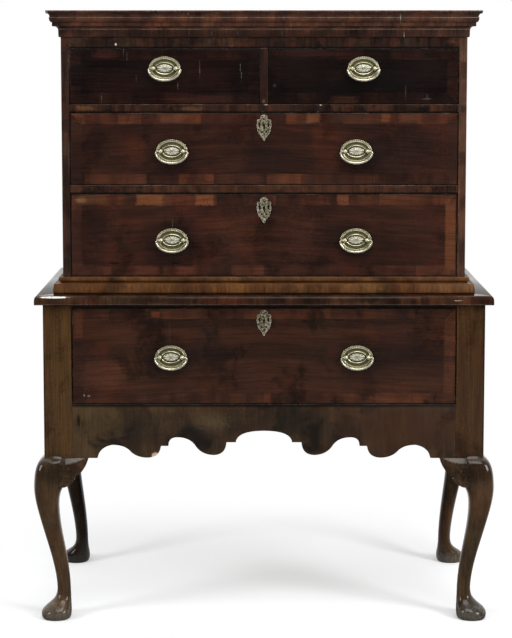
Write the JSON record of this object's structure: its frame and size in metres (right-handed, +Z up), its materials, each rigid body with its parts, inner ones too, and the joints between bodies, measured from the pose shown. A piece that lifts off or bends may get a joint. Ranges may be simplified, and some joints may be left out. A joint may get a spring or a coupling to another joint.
{
  "type": "chest on stand",
  "caption": "Tall walnut chest of drawers on a cabriole-legged stand, with moulded cornice, scalloped apron, oval plate handles with hanging bails and pierced escutcheons.",
  "frame": {"origin": "on the floor, under the middle of the whole chest's bounding box", "axes": "+Z up, -Y towards the person who opens the drawers, +X to that person's right"},
  "size_m": [1.1002, 0.567, 1.46],
  "materials": {
    "short_drawer_veneer": "polished walnut veneer, very dark",
    "long_drawer_veneer": "polished figured walnut veneer",
    "drawer_oak": "dry aged oak",
    "carcase_pine": "dry aged pine",
    "moulding_walnut": "polished cross-grained walnut",
    "waist_walnut": "faded golden walnut",
    "leg_walnut": "polished solid walnut",
    "apron_walnut": "polished walnut veneer, olive brown",
    "side_walnut": "polished walnut veneer",
    "rail_walnut": "polished cross-grained walnut",
    "plate_brass": "worn gilt brass",
    "bail_brass": "worn polished brass",
    "escutcheon_brass": "worn polished brass",
    "lock_iron": "dull iron"
  },
  "bodies": {
    "carcase": {"upper_side_left": "side_walnut", "upper_side_right": "side_walnut", "upper_top_board": "carcase_pine", "upper_bottom_board": "carcase_pine", "upper_back_boards": "carcase_pine", "top_rail": "rail_walnut", "short_drawer_divider": "rail_walnut", "drawer_rail_upper": "rail_walnut", "drawer_rail_lower": "rail_walnut", "cornice_moulding": "moulding_walnut", "waist_moulding": "waist_walnut", "stand_top_moulding": "moulding_walnut", "stand_top_rail": "rail_walnut", "stand_back_board": "carcase_pine", "apron_front": "apron_walnut", "stand_side_left": "side_walnut", "stand_runner_left": "drawer_oak", "leg_front_left": "leg_walnut", "leg_back_left": "leg_walnut", "stand_side_right": "side_walnut", "stand_runner_right": "drawer_oak", "leg_front_right": "leg_walnut", "leg_back_right": "leg_walnut"},
    "drawer_short_left": {"drawer_front_short_left": "short_drawer_veneer", "drawer_frame_short_left": "drawer_oak", "drawer_bottom_short_left": "drawer_oak", "handle_plate_short_left": "plate_brass"},
    "drawer_short_right": {"drawer_front_short_right": "short_drawer_veneer", "drawer_frame_short_right": "drawer_oak", "drawer_bottom_short_right": "drawer_oak", "handle_plate_short_right": "plate_brass"},
    "drawer_upper_long": {"drawer_front_upper_long": "long_drawer_veneer", "drawer_frame_upper_long": "drawer_oak", "drawer_bottom_upper_long": "drawer_oak", "handle_plate_upper_left": "plate_brass", "handle_plate_upper_right": "plate_brass", "escutcheon_upper_long": "escutcheon_brass", "lock_upper_long": "lock_iron"},
    "drawer_lower_long": {"drawer_front_lower_long": "long_drawer_veneer", "drawer_frame_lower_long": "drawer_oak", "drawer_bottom_lower_long": "drawer_oak", "handle_plate_lower_left": "plate_brass", "handle_plate_lower_right": "plate_brass", "escutcheon_lower_long": "escutcheon_brass", "lock_lower_long": "lock_iron"},
    "drawer_stand": {"drawer_front_stand": "long_drawer_veneer", "drawer_frame_stand": "drawer_oak", "drawer_bottom_stand": "drawer_oak", "handle_plate_stand_left": "plate_brass", "handle_plate_stand_right": "plate_brass", "escutcheon_stand": "escutcheon_brass", "lock_stand": "lock_iron"},
    "bail_short_left": {"handle_bail_short_left": "bail_brass"},
    "bail_short_right": {"handle_bail_short_right": "bail_brass"},
    "bail_upper_left": {"handle_bail_upper_left": "bail_brass"},
    "bail_upper_right": {"handle_bail_upper_right": "bail_brass"},
    "bail_lower_left": {"handle_bail_lower_left": "bail_brass"},
    "bail_lower_right": {"handle_bail_lower_right": "bail_brass"},
    "bail_stand_left": {"handle_bail_stand_left": "bail_brass"},
    "bail_stand_right": {"handle_bail_stand_right": "bail_brass"}
  },
  "joints": [
    {"name": "drawer_short_left_slide", "type": "slide", "parent": "carcase", "child": "drawer_short_left", "axis": [0, -1, 0], "range_m": [0, 0.36]},
    {"name": "drawer_short_right_slide", "type": "slide", "parent": "carcase", "child": "drawer_short_right", "axis": [0, -1, 0], "range_m": [0, 0.36]},
    {"name": "drawer_upper_long_slide", "type": "slide", "parent": "carcase", "child": "drawer_upper_long", "axis": [0, -1, 0], "range_m": [0, 0.36]},
    {"name": "drawer_lower_long_slide", "type": "slide", "parent": "carcase", "child": "drawer_lower_long", "axis": [0, -1, 0], "range_m": [0, 0.36]},
    {"name": "drawer_stand_slide", "type": "slide", "parent": "carcase", "child": "drawer_stand", "axis": [0, -1, 0], "range_m": [0, 0.4]},
    {"name": "bail_short_left_hinge", "type": "hinge", "parent": "drawer_short_left", "child": "bail_short_left", "pos_m": [-0.235, -0.22256, 1.32405], "axis": [-1, 0, 0], "range_deg": [0, 160]},
    {"name": "bail_short_right_hinge", "type": "hinge", "parent": "drawer_short_right", "child": "bail_short_right", "pos_m": [0.235, -0.22256, 1.32405], "axis": [-1, 0, 0], "range_deg": [0, 160]},
    {"name": "bail_upper_left_hinge", "type": "hinge", "parent": "drawer_upper_long", "child": "bail_upper_left", "pos_m": [-0.219, -0.22256, 1.12805], "axis": [-1, 0, 0], "range_deg": [0, 160]},
    {"name": "bail_upper_right_hinge", "type": "hinge", "parent": "drawer_upper_long", "child": "bail_upper_right", "pos_m": [0.219, -0.22256, 1.12805], "axis": [-1, 0, 0], "range_deg": [0, 160]},
    {"name": "bail_lower_left_hinge", "type": "hinge", "parent": "drawer_lower_long", "child": "bail_lower_left", "pos_m": [-0.219, -0.22256, 0.91605], "axis": [-1, 0, 0], "range_deg": [0, 160]},
    {"name": "bail_lower_right_hinge", "type": "hinge", "parent": "drawer_lower_long", "child": "bail_lower_right", "pos_m": [0.219, -0.22256, 0.91605], "axis": [-1, 0, 0], "range_deg": [0, 160]},
    {"name": "bail_stand_left_hinge", "type": "hinge", "parent": "drawer_stand", "child": "bail_stand_left", "pos_m": [-0.221, -0.26656, 0.64105], "axis": [-1, 0, 0], "range_deg": [0, 160]},
    {"name": "bail_stand_right_hinge", "type": "hinge", "parent": "drawer_stand", "child": "bail_stand_right", "pos_m": [0.221, -0.26656, 0.64105], "axis": [-1, 0, 0], "range_deg": [0, 160]}
  ]
}
